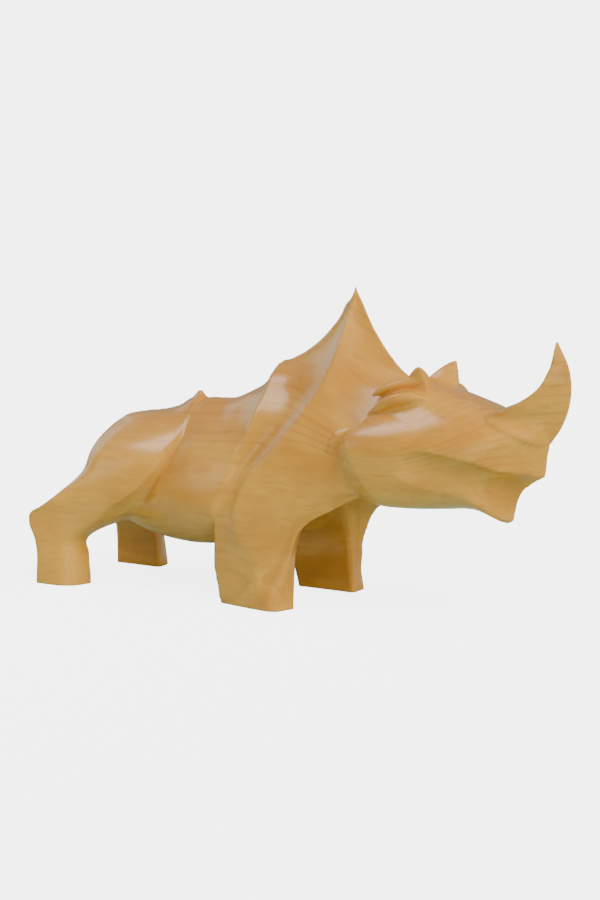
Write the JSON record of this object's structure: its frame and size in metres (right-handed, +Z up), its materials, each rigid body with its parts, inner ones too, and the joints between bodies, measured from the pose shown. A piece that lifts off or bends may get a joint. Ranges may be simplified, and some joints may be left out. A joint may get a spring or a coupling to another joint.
{
  "type": "carved animal figurine",
  "caption": "Stylised carved wooden rhinoceros with a high pointed shoulder fin, faceted plates and an upswept horn, standing on four flat feet.",
  "frame": {"origin": "middle of the footprint of the whole figure, on the plane of the four soles", "axes": "+X towards the horn, +Y towards the figure's left side, +Z up"},
  "size_m": [0.443, 0.1344, 0.2364],
  "materials": {
    "lacquered_wood": "pale honey-coloured maple, sanded smooth under a clear satin lacquer"
  },
  "bodies": {
    "root": {"rhinoceros": "lacquered_wood"}
  },
  "joints": []
}
